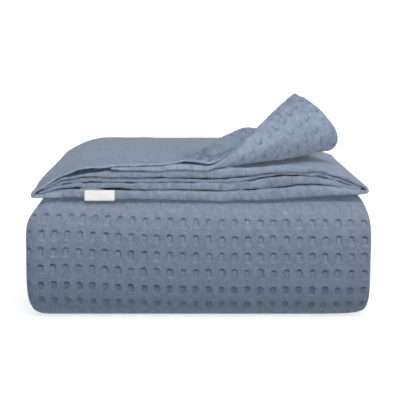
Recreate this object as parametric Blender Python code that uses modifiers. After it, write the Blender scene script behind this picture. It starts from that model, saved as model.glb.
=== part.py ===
"""A folded waffle weave cotton blanket with one corner of its top two layers curled up.

The whole blanket is one sheet. It is folded across into a strip of six layers, and that
strip is folded over and over along its length, so that its hemmed end lies on top, at the
front. Units are metres and +Z is up. X runs along the strip's width, and the front is at -Y.
"""

import math

import bmesh
import bpy
from mathutils import Vector

# Sheet
SHEET = 0.0028
THINNEST = 0.0026
THICKEST = 0.0160
HEM_DEEP = 0.030
HEM_FADE = 0.060
HEM_GAP = 0.0006
HEM_FILL = 0.88
FOLD_PINCH = 0.28
TOP_HEM = 0.0036
FLAP_HEM = 0.0045

# Strip of six layers
PACKED_PITCH = 0.00526
LEFT_TIP = -0.2095
RIGHT_TIP = 0.214
FOLD_DEPTH = 0.0030
PACKED_BLEND = 0.007
TURNED_IN = 0.0045
TURNED_BLEND = 0.010
TOP_FOLD_TIP = 0.190
TOP_FOLD_OUT = 0.0185
THIRD_FOLD_IN = 0.0075
DRAWN_IN = 0.024
DRAWN_AT = 0.020
DRAWN_WIDTH = 0.040
TOP_BLEND = 0.076
TIP_GAP = 0.0048
LOOSE_REST = 0.0024

# Lie of the strip, front to back
FRONT_HEM = -0.145
FRONT_TURN = -0.1205
REAR_TURN = 0.100
FRONT_BULGE = 0.020
REAR_BULGE = 0.030
REAR_SQUARENESS = 2.4
FRONT_SQUARENESS = 2.8
REAR_RISE = 0.004
TURN_BACK = 0.013
REAR_SPANS = 6
WIDER_AT_FRONT = 0.0076
NARROWER_BEHIND = 0.060
HANG_START = -0.127
HANG_DEEP = 0.023

# Curled corner: a cone whose apex lies on the strip's level, left of and before the hem
APEX = (-0.060, -0.198)
BEND_ANGLE = math.radians(41.2)
CONE_ANGLE = math.radians(9.9)
BEND_LEVEL = 0.0335
EASE_ANGLE = 0.10

# How far the curl's right end is lifted and reaches out, and from where
FLAP_LIFT = 0.009
FLAP_REACH = 0.007
LIFT_START = 0.188
LIFT_FULL = 0.245
LIFT_TURN = 0.04
LIFT_ROLL = 1.2
REACH_ROLL = 1.3
LIFT_FADE = 1.3

# Ridge of the top layer behind the curl
RIDGE_ANGLE = math.radians(49.8)
RIDGE_WIDTH = math.radians(9.5)
RIDGE_SLOPE = 0.174
RIDGE_START = 0.055
RIDGE_FULL = 0.155
RIDGE_FADE = 0.175
RIDGE_END = 0.300

# Sewn label on the lowest hem
LABEL_SIZE = (0.0385, 0.0008, 0.0138)
LABEL_X = -0.1235
LABEL_HEIGHT = -0.0003
SEAT_GAP = 0.0006

CLOTH_COLOUR = (0.190, 0.245, 0.340, 1.0)
LABEL_COLOUR = (0.80, 0.77, 0.70, 1.0)

# One row a layer, in the order in which the sheet runs from edge to edge.
# level: height over the lowest layer in the top run; nudge: how far the hem stands back from
# the front line; left, right: parts of the upper layers' middle on either side of MIDDLE.
LAYERS = (
    dict(name="second", place=2, start=-0.110, end=TOP_FOLD_TIP, level=0.0335, nudge=0.001, left=3, right=8),
    dict(name="top", place=1, start=TOP_FOLD_TIP, end=LEFT_TIP, level=0.0395, nudge=0.003, left=3, right=14),
    dict(name="lowest", place=6, start=LEFT_TIP, end=RIGHT_TIP, level=0.0, nudge=-0.005),
    dict(name="third", place=3, start=RIGHT_TIP, end=-0.186, level=0.0255, nudge=0.004),
    dict(name="fourth", place=4, start=-0.186, end=0.199, level=0.0173, nudge=0.006),
    dict(name="fifth", place=5, start=0.199, end=-0.191, level=0.0095, nudge=0.004),
)
MIDDLE = -0.010
TOP_LEVEL = 0.0395
SECOND_LEVEL = 0.0335
THIRD_LEVEL = 0.0255
PLACES = 6

# Heights in mm, over the lowest layer's line in the top run, of the lines at which the front
# hems meet: the lowest layer's under face, and then the line over each layer
HEM_COLUMNS = ("x", "base", "lowest", "fifth", "fourth", "third", "second")
HEM_LINES = (
    (-209.5, -4.4, -0.8, -0.5, -0.3, -0.1, 0.1),
    (-190, -3.3, 2.3, 5.6, 8.9, 12.1, 12.2),
    (-172, -1.4, 7.0, 12.1, 18.0, 21.2, 23.2),
    (-153, -1.0, 8.4, 14.6, 21.1, 26.2, 29.2),
    (-132, -3.4, 7.0, 14.6, 22.0, 29.6, 33.8),
    (-109, -4.2, 6.4, 13.8, 20.6, 30.0, 35.2),
    (-78, -4.5, 5.2, 13.7, 20.3, 30.1, 35.5),
    (-47, -6.1, 4.3, 13.8, 20.2, 29.9, 37.2),
    (-22, -8.0, 4.6, 14.1, 19.9, 30.6, 39.4),
    (3, -9.0, 4.2, 14.7, 19.3, 31.6, 40.0),
    (34, -9.0, 3.9, 14.4, 18.9, 32.0, 40.0),
    (65, -8.4, 5.1, 16.6, 22.0, 32.5, 40.0),
    (83, -7.4, 7.0, 20.9, 24.8, 33.8, 40.0),
    (108, -5.3, 8.9, 23.4, 27.3, 35.6, 40.0),
    (127, -3.6, 11.8, 24.0, 27.4, 35.8, 40.0),
    (152, -1.5, 12.0, 21.2, 28.4, 34.6, 40.0),
    (159, -1.1, 11.4, 19.4, 26.4, 32.0, 37.0),
    (177, -0.1, 9.4, 15.6, 20.3, 26.0, 30.0),
    (195, 0.4, 6.8, 10.2, 13.6, 18.0, 22.0),
    (214, 1.8, 4.9, 5.4, 6.0, 9.3, 12.0),
)
# Where the two upper hems leave these lines for the curl
FLAP_FREE = (-0.020, 0.030)

# Distances from a fold's tip at which the section is cut
INNER_CUTS = (0.29 * FOLD_DEPTH, FOLD_DEPTH)
DEEP_CUTS = (0.29 * FOLD_DEPTH, FOLD_DEPTH, 0.009)
OUTER_CUTS = (*DEEP_CUTS, 0.030, 0.070)

# Places across at which the four lower layers are cut between their folds
DEEP_STATIONS = (-0.188, -0.172, -0.145, -0.020, 0.065, 0.110, 0.150, 0.178, 0.197)

# Distances from the hem at which the top run is cut
TOP_RUN = REAR_TURN - FRONT_HEM
TOP_RUN_CUTS = (0.0, 0.004, 0.014, 0.028, 0.043, 0.058, 0.074, 0.092, 0.114, 0.145, 0.190, TOP_RUN)


def clamp(value):
    return max(0.0, min(1.0, value))


def smooth(value):
    """0 to 1 with level ends."""
    value = clamp(value)
    return value * value * (3 - 2 * value)


def mix(a, b, share):
    return a + (b - a) * share


# ---------------------------------------------------------------- section across the strip


def fold_share(distance):
    """How far a layer has come towards its neighbour's level, this far from their fold's tip."""
    inside = 1 - distance / FOLD_DEPTH
    return 0.5 * (1 - math.sqrt(1 - inside * inside)) if inside > 0 else 0.0


def cuts_at(edge, layer):
    """Distances from this edge of a layer at which it is cut, after the edge itself."""
    if edge in (LEFT_TIP, RIGHT_TIP):
        return DEEP_CUTS if layer["place"] > 2 else OUTER_CUTS
    return INNER_CUTS


def middle_cuts(layer, x0, x1):
    """Places at which the layer is cut between x0 and x1, in the order in which the sheet runs."""
    way = 1 if x1 > x0 else -1
    if layer["place"] > 2:
        return [x for x in DEEP_STATIONS[::way] if way * x0 < way * x < way * x1]
    near, far = ("left", "right") if way > 0 else ("right", "left")
    before = [mix(x0, MIDDLE, step / layer[near]) for step in range(1, layer[near])]
    return before + [mix(MIDDLE, x1, step / layer[far]) for step in range(layer[far])]


def section():
    """Stations across the strip from the sheet's one edge to the other: (x, layer, next layer, share)."""
    stations = []
    for i, layer in enumerate(LAYERS):
        start, end = layer["start"], layer["end"]
        way = 1 if end > start else -1
        first = cuts_at(start, layer) if i > 0 else (0.0,)
        last = cuts_at(end, layer) if i < len(LAYERS) - 1 else (0.0,)
        before = LAYERS[i - 1] if i > 0 else layer
        after = LAYERS[i + 1] if i < len(LAYERS) - 1 else layer
        for cut in first:
            share = fold_share(cut) if i > 0 else 0.0
            stations.append((start + way * cut, layer, before, share))
        for x in middle_cuts(layer, start + way * first[-1], end - way * last[-1]):
            stations.append((x, layer, layer, 0.0))
        for cut in reversed(last):
            share = fold_share(cut) if i < len(LAYERS) - 1 else 0.0
            stations.append((end - way * cut, layer, after, share))
        if i < len(LAYERS) - 1:
            stations.append((end, layer, after, 0.5))
    return stations


# ---------------------------------------------------------------- lie of the strip


def straight(stations, y_to, spans):
    """Carries the lowest layer's line on, level, to y_to."""
    y, z, ny, nz = stations[-1]
    for step in range(1, spans + 1):
        stations.append((mix(y, y_to, step / spans), z, ny, nz))


def round_turn(stations, z_to, depth, squareness, spans):
    """Turns the line back on itself, down or up to z_to; depth is signed, towards the turn."""
    y0, z0, _, nz0 = stations[-1]
    centre, half = (z0 + z_to) / 2, (z0 - z_to) / 2
    outer = 1 if nz0 * half > 0 else -1
    for step in range(1, spans + 1):
        angle = math.pi * step / spans
        power = 2 / squareness
        reach = abs(math.sin(angle)) ** power if step < spans else 0.0
        rise = math.copysign(abs(math.cos(angle)) ** power, math.cos(angle))
        slope_y = reach ** (squareness - 1) / depth
        slope_z = math.copysign(abs(rise) ** (squareness - 1), rise) / half
        length = outer * math.hypot(slope_y, slope_z)
        stations.append((y0 + depth * reach, centre + half * rise, slope_y / length, slope_z / length))


def layer_lines():
    """Heights of the lowest layer's line in the top run and in runs 1 to 5, in the order they are laid."""
    thick = (PLACES - 1) * PACKED_PITCH
    ground = SHEET / 2
    bottoms = [ground + place * PLACES * PACKED_PITCH for place in range(5)]
    run_1 = bottoms[0] + thick
    run_5 = bottoms[1] + thick
    run_4 = bottoms[2]
    run_3 = bottoms[3] + thick
    run_2 = bottoms[4]
    top_run = bottoms[4] + thick + PACKED_PITCH
    return top_run, run_1, run_2, run_3, run_4, run_5


def lie():
    """Stations of the lowest layer along the strip: (y, z, and the direction in which the others are stacked)."""
    top_run, run_1, run_2, run_3, run_4, run_5 = layer_lines()
    stations = [(FRONT_HEM + cut, top_run + REAR_RISE * smooth(cut / TOP_RUN), 0.0, 1.0) for cut in TOP_RUN_CUTS]
    round_turn(stations, run_1, REAR_BULGE, REAR_SQUARENESS, REAR_SPANS)
    straight(stations, FRONT_TURN, 1)
    round_turn(stations, run_2, -FRONT_BULGE, FRONT_SQUARENESS, 8)
    straight(stations, REAR_TURN - 0.008, 1)
    round_turn(stations, run_3, (run_2 - run_3) / 2, 2, 3)
    straight(stations, FRONT_TURN + TURN_BACK, 1)
    round_turn(stations, run_4, -(run_3 - run_4) / 2, 2, 3)
    straight(stations, REAR_TURN - 0.008, 1)
    round_turn(stations, run_5, (run_4 - run_5) / 2, 2, 3)
    straight(stations, FRONT_TURN + 0.006, 1)
    return stations


# ---------------------------------------------------------------- one point of the sheet


def top_share(row):
    """1 on the loose top run, falling to 0 round the rear turn."""
    return 1 - smooth((row - len(TOP_RUN_CUTS) + 1) / REAR_SPANS)


def tip_distance(x):
    return max(0.0, min(x - LEFT_TIP, RIGHT_TIP - x))


def near_tip(x, share, left_gap, right_gap):
    """1 in the strip's middle; share falls to 0 at the tips, where the outer folds' layers are TIP_GAP apart."""
    least = TIP_GAP / (right_gap if x > 0 else left_gap)
    return least + (1 - least) * share


def loose_share(x):
    share = math.sin(math.pi / 2 * clamp(tip_distance(x) / TOP_BLEND))
    return near_tip(x, share, TOP_LEVEL, THIRD_LEVEL)


def loose_offset(x, level):
    """Height over the lowest layer's line in the top run, which is lens-shaped across."""
    pair = max(0.0, level - SECOND_LEVEL) if x > 0 else 0.0
    return LOOSE_REST + (level - pair - LOOSE_REST) * loose_share(x) + pair


def packed_offset(x, place):
    """The same in the packed runs, whose folds are round; at the right the upper two layers wrap the rest."""
    level = (PLACES - place) * PACKED_PITCH
    if x > 0 and place < 3:
        return level - TURNED_IN * math.exp(-max(0.0, TOP_FOLD_TIP - x) / TURNED_BLEND)
    anchor = (1.5 if x > 0 else 2.5) * PACKED_PITCH
    share = 1 - math.exp(-tip_distance(x) / PACKED_BLEND)
    return anchor + (level - anchor) * near_tip(x, share, 5 * PACKED_PITCH, 3 * PACKED_PITCH)


def offset(column, moved, loose):
    """How far a station of the section, moved to that x, stands off the lowest layer's line."""
    x, layer, neighbour, share = column
    place = mix(layer["place"], neighbour["place"], share)
    level = mix(layer["level"], neighbour["level"], share)
    return mix(packed_offset(x, place), loose_offset(moved, level), loose)


def moved_x(x, y, layer, loose):
    """The station's x where the strip's right folds stand further out or in than in the flat section."""
    right = smooth(x / TOP_FOLD_TIP)
    x *= 1 - NARROWER_BEHIND * smooth((y - FRONT_HEM) / TOP_RUN) * math.sqrt(loose)
    if layer["place"] > 2:
        return x - THIRD_FOLD_IN * right * (1 - loose)
    drawn = DRAWN_IN * math.exp(-(((y - DRAWN_AT) / DRAWN_WIDTH) ** 2)) * loose
    return x + (TOP_FOLD_OUT * (1 - loose) - drawn) * right


def front_drop(x, y):
    """How far the top run's front hangs down over the round front of the bundle."""
    over = smooth((HANG_START - y) / HANG_DEEP)
    centre = 1 - (x / RIGHT_TIP) ** 2
    return over * (0.0008 + 0.0038 * clamp(centre))


def hem_lines(x):
    """Heights at x of the lines at which the hems meet, from the lowest layer's under face up."""
    x = max(HEM_LINES[0][0], min(1000 * x, HEM_LINES[-1][0]))
    k = next(k for k in range(1, len(HEM_LINES)) if x <= HEM_LINES[k][0])
    low, high = HEM_LINES[k - 1], HEM_LINES[k]
    share = (x - low[0]) / (high[0] - low[0])
    lines = [mix(a, b, share) / 1000 for a, b in zip(low[1:], high[1:], strict=True)]
    return [*lines, lines[-1] + TOP_HEM + HEM_GAP]


def hem_band(x, layer):
    """Middle and thickness of this layer's hem at x."""
    lines = hem_lines(x)
    low, high = lines[PLACES - layer["place"]], lines[PLACES - layer["place"] + 1]
    return (low + high) / 2, HEM_FILL * (high - low - HEM_GAP)


def hem_at(x, layer, neighbour, share):
    """The same between two layers, where they fold."""
    (middle, thick), (next_middle, next_thick) = hem_band(x, layer), hem_band(x, neighbour)
    return mix(middle, next_middle, share), mix(thick, next_thick, share)


def on_lines(x, layer):
    """1 where a hem keeps to the lines, falling to 0 where the two upper ones leave them for the curl."""
    if layer["place"] > 2:
        return 1.0
    return 1 - smooth((x - FLAP_FREE[0]) / (FLAP_FREE[1] - FLAP_FREE[0]))


def loose_height(x, y, row, column):
    """Height of a layer in the top run before it is curled, which comes to its hem's line at the front."""
    _, layer, neighbour, share = column
    even = row[1] + loose_offset(x, mix(layer["level"], neighbour["level"], share)) - front_drop(x, y)
    near = (1 - smooth((row[0] - FRONT_HEM) / HEM_FADE)) * on_lines(x, layer)
    return mix(even, layer_lines()[0] + hem_at(x, layer, neighbour, share)[0], near)


def curled(x, y, level, height):
    """The point (x, y) of the two top layers, level above their lower one, rolled on the cone."""
    dx, dy = x - APEX[0], y - APEX[1]
    radius, angle = math.hypot(dx, dy), math.atan2(dy, dx)
    turn = BEND_ANGLE - angle
    if turn <= 0:
        return Vector((x, y, height + level))
    ray = Vector((math.cos(BEND_ANGLE), math.sin(BEND_ANGLE), 0))
    side = Vector((math.sin(BEND_ANGLE), -math.cos(BEND_ANGLE), 0))
    up = Vector((0, 0, 1))
    axis = ray * math.cos(CONE_ANGLE) + up * math.sin(CONE_ANGLE)
    rim = up * math.cos(CONE_ANGLE) - ray * math.sin(CONE_ANGLE)
    roll = turn / math.sin(CONE_ANGLE)
    out = axis * math.cos(CONE_ANGLE) + (side * math.sin(roll) - rim * math.cos(roll)) * math.sin(CONE_ANGLE)
    inward = (axis - out * math.cos(CONE_ANGLE)) / math.sin(CONE_ANGLE)
    base = layer_lines()[0] + BEND_LEVEL
    sunk = (height - base) * math.exp(-turn / EASE_ANGLE)
    outer = smooth((radius - LIFT_START) / (LIFT_FULL - LIFT_START)) * smooth(turn / LIFT_TURN)
    reach = FLAP_REACH * outer * (1 - smooth((roll - REACH_ROLL) / LIFT_FADE))
    lift = FLAP_LIFT * outer * (1 - smooth((roll - LIFT_ROLL) / LIFT_FADE))
    return Vector((APEX[0] + reach, APEX[1], base + lift)) + out * radius + inward * (level + sunk)


def ridge(x, y):
    """Height of the top layer's ridge, which fans out from the cone's apex behind the curl."""
    dx, dy = x - APEX[0], y - APEX[1]
    radius, angle = math.hypot(dx, dy), math.atan2(dy, dx)
    across = math.exp(-(((angle - RIDGE_ANGLE) / RIDGE_WIDTH) ** 2))
    rising = smooth((radius - RIDGE_START) / (RIDGE_FULL - RIDGE_START))
    falling = smooth((RIDGE_END - radius) / (RIDGE_END - RIDGE_FADE))
    return RIDGE_SLOPE * radius * across * rising * falling


def sheet_point(column, row, loose):
    """Middle of the sheet at this station of the section and of the lie."""
    x, layer, neighbour, share = column
    y, z, ny, nz = row
    x = moved_x(x, y, layer, loose)
    stack = offset(column, x, loose)
    if loose < 1:
        widen = 1 + WIDER_AT_FRONT / RIGHT_TIP * max(0.0, -ny) ** 2
        return Vector((x * widen, y + ny * stack, z + nz * stack))
    y += mix(layer["nudge"], neighbour["nudge"], share) * (1 - smooth((y - FRONT_HEM) / 0.06))
    height = loose_height(x, y, row, column)
    if layer["place"] > 2:
        return Vector((x, y, height))
    lower = loose_height(x, y, row, (x, LAYERS[0], LAYERS[0], 0.0))
    point = curled(x, y, height - lower, lower)
    if layer["place"] == 1 and share == 0:
        point.z += ridge(x, y)
    return point


def thickness(column, row, loose):
    """The sheet's thickness: full at the front hem, thinner towards the strip's tips and pinched in its folds."""
    if loose < 1:
        return SHEET
    _, layer, neighbour, share = column
    x = moved_x(column[0], row[0], layer, loose)
    depth = row[0] - FRONT_HEM
    flap = (TOP_HEM if layer["place"] == 1 else FLAP_HEM) * loose_share(x)
    hem = mix(flap, hem_at(x, layer, neighbour, share)[1], on_lines(x, layer))
    rounded = 0.72 if depth == 0 else 1.0
    swell = (1 - smooth((depth - 0.004) / HEM_DEEP)) * rounded
    pinch = FOLD_PINCH * (1 - smooth(depth / HEM_FADE)) if share > 0 else 0.0
    return max(THINNEST, mix(SHEET, hem, swell)) * (1 - pinch)


# ---------------------------------------------------------------- objects


def material(name, colour, roughness):
    made = bpy.data.materials.new(name)
    made.use_nodes = True
    shader = made.node_tree.nodes["Principled BSDF"]
    shader.inputs["Base Color"].default_value = colour
    shader.inputs["Roughness"].default_value = roughness
    shader.inputs["Metallic"].default_value = 0.0
    made.diffuse_color = colour
    return made


def make_blanket(collection):
    """A flat grid, a column for each station of the section and a row for each of the lie, moved into its folds."""
    columns, rows = section(), lie()
    bm = bmesh.new()
    bmesh.ops.create_grid(bm, x_segments=len(columns) - 1, y_segments=len(rows) - 1, size=1)
    hems = bm.verts.layers.deform.verify()
    for vertex in bm.verts:
        i = round((vertex.co.x + 1) / 2 * (len(columns) - 1))
        j = round((vertex.co.y + 1) / 2 * (len(rows) - 1))
        loose = top_share(j)
        vertex.co = sheet_point(columns[i], rows[j], loose)
        vertex[hems][0] = thickness(columns[i], rows[j], loose) / THICKEST
    mesh = bpy.data.meshes.new("blanket_cloth")
    bm.to_mesh(mesh)
    bm.free()
    blanket = bpy.data.objects.new("blanket_cloth", mesh)
    collection.objects.link(blanket)
    blanket.vertex_groups.new(name="thickness")
    shell = blanket.modifiers.new("sheet thickness", "SOLIDIFY")
    shell.thickness = THICKEST
    shell.offset = 0.0
    shell.vertex_group = "thickness"
    shell.thickness_vertex_group = 0.0
    mesh.materials.append(material("cotton_waffle", CLOTH_COLOUR, 0.9))
    return blanket


def make_label(collection):
    """The blank label that stands on the lowest layer's hem."""
    bpy.ops.mesh.primitive_cube_add(size=1)
    label = bpy.context.object
    label.name = "hem_label"
    label.data.name = "hem_label"
    for vertex in label.data.vertices:
        vertex.co = Vector(a * b for a, b in zip(vertex.co, LABEL_SIZE, strict=True))
    front = FRONT_HEM + LAYERS[2]["nudge"]
    label.location = (
        LABEL_X,
        front - SEAT_GAP - LABEL_SIZE[1] / 2,
        layer_lines()[0] + LABEL_HEIGHT,
    )
    for owner in label.users_collection:
        owner.objects.unlink(label)
    collection.objects.link(label)
    label.data.materials.append(material("label_satin", LABEL_COLOUR, 0.6))
    return label


def centre_over_origin(objects):
    """Moves everything so that the middle of the blanket's base stands on the origin."""
    corners = [vertex.co for vertex in objects[0].data.vertices]
    middle_x = (min(c.x for c in corners) + max(c.x for c in corners)) / 2
    middle_y = (min(c.y for c in corners) + max(c.y for c in corners)) / 2
    for obj in objects:
        obj.location.x -= middle_x
        obj.location.y -= middle_y


def main():
    for obj in list(bpy.data.objects):
        bpy.data.objects.remove(obj, do_unlink=True)
    collection = bpy.data.collections.new("folded_waffle_blanket")
    bpy.context.scene.collection.children.link(collection)
    blanket = make_blanket(collection)
    label = make_label(collection)
    centre_over_origin([blanket, label])


main()
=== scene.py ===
"""Looks of a folded waffle weave cotton blanket, one corner of whose top layers is curled up.

The blanket is one sheet, and each of its points follows from two sheet coordinates: one across
the strip of six layers, in the order in which the sheet runs through them, and one along the
strip, from its hemmed end on top to its other end inside. What shows is cut finely enough for
the waffle's wells to be real hollows, and the hidden layers are coarse.
"""

import math

import bmesh
import bpy
import numpy as np
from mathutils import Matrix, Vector


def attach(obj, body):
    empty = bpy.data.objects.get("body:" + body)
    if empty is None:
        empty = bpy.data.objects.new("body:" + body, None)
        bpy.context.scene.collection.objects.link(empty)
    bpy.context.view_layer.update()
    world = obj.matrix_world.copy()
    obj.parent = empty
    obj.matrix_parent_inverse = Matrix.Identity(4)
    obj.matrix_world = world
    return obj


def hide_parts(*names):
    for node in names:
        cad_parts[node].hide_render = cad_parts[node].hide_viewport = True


# ---- the blanket's sizes

# They repeat the solid's, and where they differ they come closer to the photograph

# Thickness of the sheet and its hems, the gap between hems, and how far back from the edge they reach
SHEET = 0.0028
THINNEST = 0.0026
THIN_TIP = 0.0016
TOP_HEM = 0.0036
FLAP_HEM = 0.0045
HEM_GAP = 0.0003
HEM_FLAT = 0.004
HEM_DEEP = 0.030
HEM_FADE = 0.060

# The strip's six layers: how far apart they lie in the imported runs, and where their folds are.
# A nest is how many pitches apart the two layers of a side's outermost fold lie.
PLACES = 6
PACKED_PITCH = 0.00526
LEFT_TIP = -0.2095
RIGHT_TIP = 0.214
LEFT_NEST = 5
RIGHT_NEST = 3
FOLD_DEPTH = 0.0030
PACKED_BLEND = 0.0042
TOP_FOLD_TIP = 0.190
TOP_FOLD_OUT = 0.0185
THIRD_FOLD_IN = 0.0075
TURNED_IN = 0.0045
TURNED_BLEND = 0.010

# Heights in the top run over the lowest layer's line, which close up towards the tips
TOP_LEVEL = 0.0395
SECOND_LEVEL = 0.0335
THIRD_LEVEL = 0.0255
TOP_BLEND = 0.076
TIP_GAP = 0.0048
LOOSE_REST = 0.0024

# The strip's runs, seen from the right: where they turn and how far the turns stand out
FRONT_HEM = -0.145
FRONT_TURN = -0.1205
REAR_TURN = 0.100
TOP_RUN = REAR_TURN - FRONT_HEM
FRONT_BULGE = 0.020
REAR_BULGE = 0.030
FRONT_SQUARENESS = 2.8
REAR_SQUARENESS = 2.4
ROUND = 2
REAR_RISE = 0.004
INNER_FROM_REAR = 0.008
INNER_FROM_FRONT = 0.013
LAST_FROM_FRONT = 0.006

# The strip's width changes along it, and its upper right fold is drawn in behind the curl
NARROWER_BEHIND = 0.085
WIDER_AT_FRONT = 0.0076
DRAWN_IN = 0.024
DRAWN_AT = (0.020, 0.040)

# The round front is squarer at its foot, where this power of the normal's slope is small
FOOT_POWER = 0.7
FRONT_POWER = 2.0
FOOT_RISE = (0.02, 0.05)

# The lower bundle's left upper shoulder is drawn in
SHOULDER = 0.045
SHOULDER_RISE = (0.118, 0.042)
SHOULDER_WIDE = 0.15

# The top run's front hangs down a little, most in the middle
HANG_START = -0.127
HANG_DEEP = 0.023
HANG_LEAST = 0.0008
HANG_MORE = 0.0038

# The curl: in front of a line through the apex, the two top layers are rolled on a cone
APEX = (-0.060, -0.198)
BEND_ANGLE = math.radians(41.2)
CONE_ANGLE = math.radians(9.9)
BEND_LEVEL = 0.0335
EASE_ANGLE = 0.10
FLAP_TURN = 0.06
FLAP_LIFT = 0.0078
FLAP_REACH = 0.007
LIFT_START = 0.243
LIFT_FULL = 0.296
LIFT_BEFORE = 0.16
LIFT_ROLL = 1.2
REACH_ROLL = 0.9
LIFT_FADE = 1.3

# The top layer's ridge behind the curl, and the sharp valley in front of it
RIDGE_ANGLE = math.radians(49.8)
RIDGE_WIDTH = math.radians(8.4)
RIDGE_SLOPE = 0.182
RIDGE_START = 0.055
RIDGE_FULL = 0.155
RIDGE_FADE = 0.175
RIDGE_END = 0.300
VALLEY_AT = (-0.015, 0.012)
# How much painted shade lies along the valley and painted light on the ridge
VALLEY_PAINTED_SHADE = 0.7
RIDGE_PAINTED_LIGHT = 0.30

# Middle of the solid's base in the sizes above
CENTRED = np.array((0.00052, 0.00195, 0.0))

# The blank label
LABEL_SIZE = (0.0385, 0.0008, 0.0138)
LABEL_X = -0.1244
LABEL_HEIGHT = -0.0003
SEAT_GAP = 0.0006

# The layers, in the order in which the sheet runs through them: where each starts and ends in x, its
# height in the top run, and how far its hem stands back
LAYER_COLUMNS = ("name", "place", "start", "end", "level", "nudge")
LAYER_ROWS = (
    ("second", 2, -0.110, TOP_FOLD_TIP, SECOND_LEVEL, 0.001),
    ("top", 1, TOP_FOLD_TIP, LEFT_TIP, TOP_LEVEL, 0.003),
    ("lowest", 6, LEFT_TIP, RIGHT_TIP, 0.0, -0.005),
    ("third", 3, RIGHT_TIP, -0.196, THIRD_LEVEL, 0.004),
    ("fourth", 4, -0.196, 0.205, 0.0173, 0.006),
    ("fifth", 5, 0.205, -0.201, 0.0095, 0.004),
)
LAYERS = [dict(zip(LAYER_COLUMNS, row, strict=True)) for row in LAYER_ROWS]

# Heights in mm, over the lowest layer's line in the top run, of the lines at which the front
# hems meet: the lowest layer's under face, and then the line over each layer
HEM_COLUMNS = ("x", "base", "lowest", "fifth", "fourth", "third", "second")
HEM_LINES = (
    (-209.5, -4.4, -0.8, -0.5, -0.3, -0.1, 0.1),
    (-190, -3.9, 2.3, 5.6, 8.9, 12.1, 12.2),
    (-172, -3.6, 7.0, 12.1, 18.0, 21.2, 23.2),
    (-153, -3.6, 8.4, 14.6, 21.1, 26.2, 29.2),
    (-132, -5.2, 7.0, 14.6, 22.0, 29.6, 33.8),
    (-109, -6.0, 6.4, 13.8, 20.6, 30.0, 35.2),
    (-78, -6.3, 5.2, 13.7, 20.3, 30.1, 35.5),
    (-47, -7.3, 4.3, 13.8, 20.2, 29.9, 37.2),
    (-22, -8.0, 4.6, 14.1, 19.9, 30.6, 39.4),
    (3, -9.0, 4.2, 14.7, 19.3, 31.6, 40.0),
    (34, -9.0, 3.9, 14.4, 18.9, 32.0, 40.0),
    (65, -8.4, 5.1, 16.6, 22.0, 32.5, 40.0),
    (83, -8.2, 7.0, 20.9, 24.8, 33.8, 40.0),
    (108, -6.4, 8.9, 23.4, 27.3, 35.6, 40.0),
    (127, -4.9, 11.8, 24.0, 27.4, 35.8, 40.0),
    (152, -3.0, 12.0, 21.2, 28.4, 34.6, 40.0),
    (159, -2.7, 11.4, 19.4, 26.4, 32.0, 37.0),
    (177, -1.9, 9.4, 15.6, 20.3, 26.0, 30.0),
    (195, -0.8, 6.8, 10.2, 13.6, 18.0, 22.0),
    (214, 1.8, 4.9, 5.4, 6.0, 9.3, 12.0),
)
# The third layer's hem stands off the top one's here, which leaves a wedge between them in shade, darkened
# more with painted shade
WEDGE_AT = (-0.142, 0.034)
WEDGE_DEEP = 0.0024
WEDGE_START = 0.004
# Where the two upper hems leave these lines for the curl
FLAP_FREE = (-0.020, 0.030)
# A hem is even close to the tips, and the second layer's starts thin where it comes out
QUIET_TIP = 0.03
SECOND_START = 0.35
SECOND_TAPER = 0.016
# Unevenness along the hems: its height, its features' width, how far apart the layers are in it, its seed
HEM_WAVE = (0.0010, 0.026, 0.31, 31)
HEM_RIPPLE = (0.0008, 0.009, 0.17, 32)
HEM_SWELL = (0.0010, 0.017, 0.23, 33)
HEM_DENTS = (0.0010, 0.0085, 0.29, 34)

# ---- what the scene adds

STEP_ACROSS = 0.00118
STEPS_ALONG = dict(top=0.0014, rear=0.0017, floor=0.0040, front=0.00092, inner=0.0024)
FOLD_SPANS = 10
LINE_SAMPLES = 200
TURN_SAMPLES = 600

# The hem's rim: how far it stands out and how square it is, and the rows round it and under it
RIM_DEEP = 0.8
RIM_SQUARENESS = 0.62
RIM_SPANS = 12
RIM_TURN = 0.003
UNDER_ROWS = 22
UNDER_STRIDE = 2

# Waffle: a well in each cell; on the front, up is along +v
CELL_U = 0.01573
CELL_V = 0.0213
WELL_HALF_U = 0.0033
WELL_HALF_V = 0.0056
WELL_DEPTH = 0.0017
WELL_AT_X = -0.0030
WELL_AT_Z = 0.0901
# The lower rows on the front are shorter, and painted shade fills their wells
LOW_ROWS = -0.010
LOWEST_ROW = -0.085
LOW_FADE = 0.034
LOW_SHORTER = 0.17
# What chance gives each well, and how much of it: metres for the shifts, and shares for the rest
CHANCES = ("shift_u", "shift_v", "wide", "tall", "deep", "side", "pucker", "tick", "drift")
CHANCE_CELLS = (97, 89)
CHANCE_SEED = 7
SHIFT_U = 0.00040
SHIFT_V = 0.00055
SKEW = 0.09
WIDER = 0.09
TALLER = 0.10
DEEPER = 0.20
# One side of a well's rim gets this much more painted shade, picked at random
SIDE_PAINTED_SHADE = 0.35
# Where parts of a well start and how wide they are, in its half sizes
ARCH_SQUARENESS = 3.4
WALL = (0.72, 0.36)
SLOPE = (-1.05, 1.9)
SLOPE_SHARE = 0.85
BOTTOM = (-1.25, 0.3)
LIP = (-1.22, 0.20)
LIP_ENDS = (0.6, 0.6)
BROW = (1.28, 0.16)
OUTLINE = (0.93, 0.13)
OUTLINE_FOOT = (-1.15, 0.9)
OUTLINE_TOP = (0.1, 0.6)
# Heights of its lip and brow in its depths, and the strength of its painted highlight and painted shades
LIP_HIGH = 0.22
BROW_HIGH = 0.10
LIP_PAINTED_HIGHLIGHT = 0.60
LOW_PAINTED_SHADE = 0.75
ABOVE_PAINTED_SHADE = 0.85
BESIDE_PAINTED_SHADE = 0.80
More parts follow.
